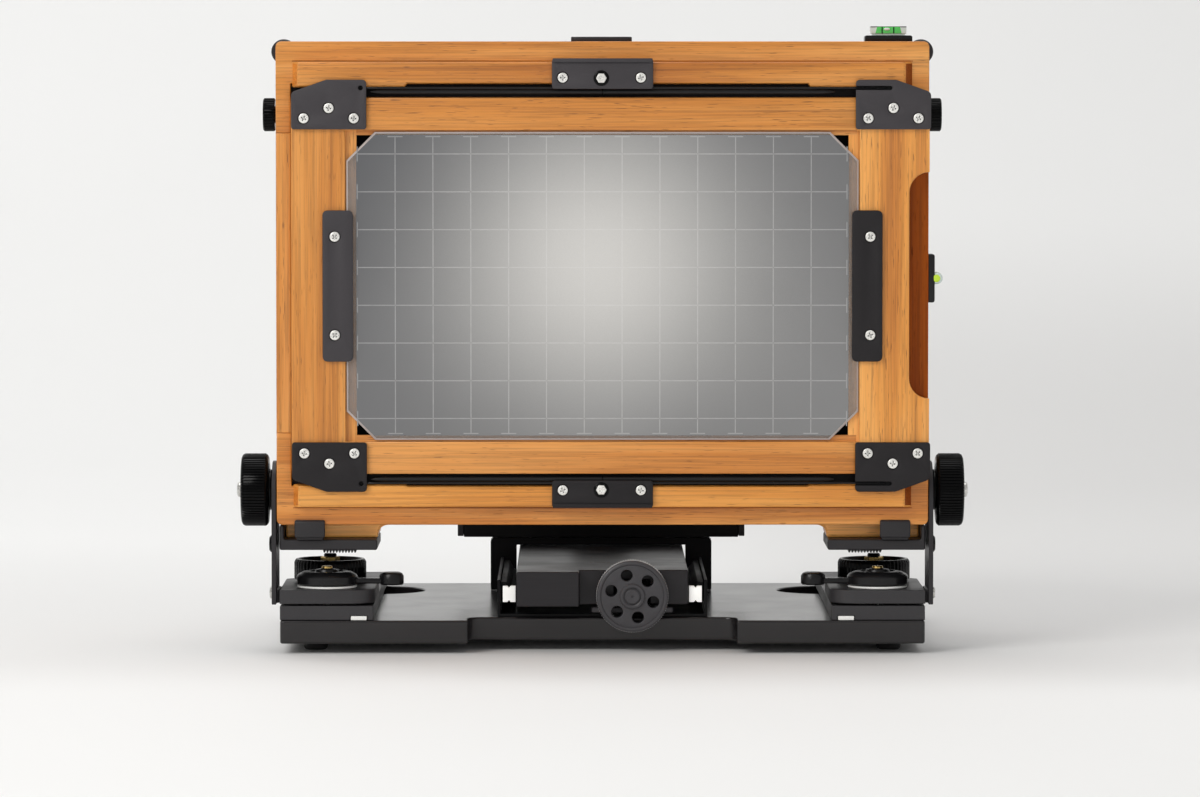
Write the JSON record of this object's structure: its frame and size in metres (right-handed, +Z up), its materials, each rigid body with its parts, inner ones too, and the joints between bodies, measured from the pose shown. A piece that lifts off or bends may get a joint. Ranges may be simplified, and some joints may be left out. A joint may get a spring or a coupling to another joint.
{
  "type": "large format view camera",
  "caption": "Folding wooden field view camera with ground glass back, pleated bellows, geared focus and a tilting, swinging front and rear standard on a laminate base.",
  "frame": {"origin": "centre of the base board in plan, on the plane the feet stand on", "axes": "+X to the right seen from behind the ground glass, +Y from the ground glass to the lens, +Z up"},
  "size_m": [0.2904, 0.2, 0.2516],
  "materials": {
    "teak": "oiled teak with fine straight grain, satin",
    "black_metal": "matte black anodised aluminium",
    "brushed_black": "black anodised aluminium, brushed across",
    "black_knob": "glossier black anodised, knurled",
    "shutter_black": "satin black paint",
    "laminate": "black fibre laminate with a faint weave",
    "steel": "bright turned steel",
    "spring_steel": "blackened spring steel",
    "rubber": "black rubber",
    "bellows_leather": "thin black pleated leather",
    "nylon": "white nylon",
    "brass": "plain brass",
    "vial_green": "clear green level vial",
    "ground_glass": "finely ground, with a ruled grid",
    "lens_glass": "polished, coated"
  },
  "bodies": {
    "base": {"base_board": "laminate", "tripod_socket": "steel", "focus_bed": "black_metal", "side_rail_right": "black_metal", "side_rail_left": "black_metal", "foot_rear_right": "rubber", "foot_rear_left": "rubber", "foot_front_right": "rubber", "foot_front_left": "rubber"},
    "focus_screw": {"focus_knob": "black_metal", "lead_screw": "steel"},
    "focus_lock": {"focus_lock_bar": "black_metal"},
    "carriage": {"carriage": "brushed_black", "saddle": "black_metal"},
    "front_standard": {"front_cross_bar": "black_metal", "front_arm_right": "black_metal", "front_arm_left": "black_metal"},
    "swing_clamp": {"swing_clamp_knob": "black_knob"},
    "rise_carrier": {"rise_bracket": "black_metal"},
    "front_lock_right": {"front_knob_right": "black_knob"},
    "front_lock_left": {"front_knob_left": "black_knob"},
    "lens_stage": {"lens_frame": "teak", "lens_board": "black_metal", "shutter_body": "shutter_black", "front_barrel": "shutter_black", "front_element": "lens_glass"},
    "speed_selector": {"speed_ring": "shutter_black"},
    "aperture_control": {"aperture_lever": "black_metal"},
    "cocking_control": {"cocking_lever": "steel"},
    "rear_shoe": {"shoe_right": "steel", "shoe_left": "steel"},
    "slide_lock_right": {"lock_lever_right": "black_knob"},
    "slide_lock_left": {"lock_lever_left": "black_knob"},
    "swing_lock_right": {"rim_knob_right": "black_knob"},
    "swing_lock_left": {"rim_knob_left": "black_knob"},
    "rear_bracket": {"bracket_plate_right": "black_metal", "bracket_plate_left": "black_metal", "side_arm_right": "black_metal", "side_arm_left": "black_metal"},
    "rear_standard": {"foot_bar_right": "black_metal", "foot_bar_left": "black_metal", "rear_frame": "teak", "back_panel": "teak", "spring_top": "spring_steel", "spring_bottom": "spring_steel", "level_top": "black_metal", "level_side": "black_metal", "bellows": "bellows_leather"},
    "tilt_lock_right": {"tilt_knob_right": "black_knob"},
    "tilt_lock_left": {"tilt_knob_left": "black_knob"},
    "back_catch_right": {"back_lock_right": "black_knob"},
    "back_catch_left": {"back_lock_left": "black_knob"},
    "glass_back": {"glass_frame": "teak", "ground_glass": "ground_glass", "glass_clip_right": "black_metal", "glass_clip_left": "black_metal", "corner_plate_top_left": "black_metal", "corner_plate_top_right": "black_metal", "corner_plate_bottom_left": "black_metal", "corner_plate_bottom_right": "black_metal"}
  },
  "joints": [
    {"name": "focus_slide", "type": "slide", "parent": "base", "child": "carriage", "axis": [0, 1, 0], "range_m": [0, 0.05], "deforming": ["bellows"]},
    {"name": "focus_turn", "type": "hinge", "parent": "base", "child": "focus_screw", "pos_m": [0.012, -0.083, 0.0228], "axis": [0, 1, 0], "range_deg": [0, 1801]},
    {"name": "focus_lock_slide", "type": "slide", "parent": "base", "child": "focus_lock", "axis": [1, 0, 0], "range_m": [-0.004, 0.004]},
    {"name": "front_swing", "type": "hinge", "parent": "carriage", "child": "front_standard", "pos_m": [0, 0.06, 0.04], "axis": [0, 0, 1], "range_deg": [-6, 6]},
    {"name": "swing_clamp_turn", "type": "hinge", "parent": "front_standard", "child": "swing_clamp", "pos_m": [0, 0.06, 0.049], "axis": [0, 0, 1], "range_deg": [0, 120]},
    {"name": "front_rise", "type": "slide", "parent": "front_standard", "child": "rise_carrier", "axis": [0, 0, 1], "range_m": [-0.01, 0.018]},
    {"name": "front_lock_right_turn", "type": "hinge", "parent": "rise_carrier", "child": "front_lock_right", "pos_m": [0.066, 0.06, 0.14865], "axis": [1, 0, 0], "range_deg": [0, 120]},
    {"name": "front_lock_left_turn", "type": "hinge", "parent": "rise_carrier", "child": "front_lock_left", "pos_m": [-0.066, 0.06, 0.14865], "axis": [1, 0, 0], "range_deg": [0, 120]},
    {"name": "front_tilt", "type": "hinge", "parent": "rise_carrier", "child": "lens_stage", "pos_m": [0, 0.06, 0.14865], "axis": [1, 0, 0], "range_deg": [-9, 9]},
    {"name": "speed_ring_turn", "type": "hinge", "parent": "lens_stage", "child": "speed_selector", "pos_m": [0, 0.084, 0.14865], "axis": [0, 1, 0], "range_deg": [-60, 60]},
    {"name": "aperture_lever_turn", "type": "hinge", "parent": "lens_stage", "child": "aperture_control", "pos_m": [0, 0.071, 0.14865], "axis": [0, 1, 0], "range_deg": [-30, 30]},
    {"name": "cocking_lever_turn", "type": "hinge", "parent": "lens_stage", "child": "cocking_control", "pos_m": [0, 0.076, 0.14865], "axis": [0, 1, 0], "range_deg": [0, 40]},
    {"name": "rear_slide", "type": "slide", "parent": "base", "child": "rear_shoe", "axis": [0, 1, 0], "range_m": [0, 0.008]},
    {"name": "slide_lock_right_turn", "type": "hinge", "parent": "rear_shoe", "child": "slide_lock_right", "pos_m": [0.111, -0.08, 0.028], "axis": [0, 0, 1], "range_deg": [-30, 80]},
    {"name": "slide_lock_left_turn", "type": "hinge", "parent": "rear_shoe", "child": "slide_lock_left", "pos_m": [-0.111, -0.08, 0.028], "axis": [0, 0, 1], "range_deg": [-80, 30]},
    {"name": "swing_lock_right_turn", "type": "hinge", "parent": "rear_shoe", "child": "swing_lock_right", "pos_m": [0.111, -0.049, 0.03], "axis": [0, 0, 1], "range_deg": [0, 120]},
    {"name": "swing_lock_left_turn", "type": "hinge", "parent": "rear_shoe", "child": "swing_lock_left", "pos_m": [-0.111, -0.049, 0.03], "axis": [0, 0, 1], "range_deg": [0, 120]},
    {"name": "rear_swing", "type": "hinge", "parent": "rear_shoe", "child": "rear_bracket", "pos_m": [0, -0.0645, 0.023], "axis": [0, 0, 1], "range_deg": [-2, 2]},
    {"name": "rear_tilt", "type": "hinge", "parent": "rear_bracket", "child": "rear_standard", "pos_m": [0, -0.08, 0.0433], "axis": [1, 0, 0], "range_deg": [-2, 12]},
    {"name": "tilt_lock_right_turn", "type": "hinge", "parent": "rear_standard", "child": "tilt_lock_right", "pos_m": [0.139, -0.08, 0.0652], "axis": [1, 0, 0], "range_deg": [0, 120]},
    {"name": "tilt_lock_left_turn", "type": "hinge", "parent": "rear_standard", "child": "tilt_lock_left", "pos_m": [-0.139, -0.08, 0.0652], "axis": [1, 0, 0], "range_deg": [0, 120]},
    {"name": "back_catch_right_turn", "type": "hinge", "parent": "rear_standard", "child": "back_catch_right", "pos_m": [0.134, -0.072, 0.2161], "axis": [1, 0, 0], "range_deg": [0, 180]},
    {"name": "back_catch_left_turn", "type": "hinge", "parent": "rear_standard", "child": "back_catch_left", "pos_m": [-0.134, -0.072, 0.2161], "axis": [1, 0, 0], "range_deg": [0, 180]},
    {"name": "glass_back_slide", "type": "slide", "parent": "rear_standard", "child": "glass_back", "axis": [0, -1, 0], "range_m": [0, 0.014], "deforming": ["spring_top", "spring_bottom"]}
  ],
  "couplings": [
    {"joint": "focus_turn", "follows": "focus_slide", "rad_per_m": 628.32}
  ]
}
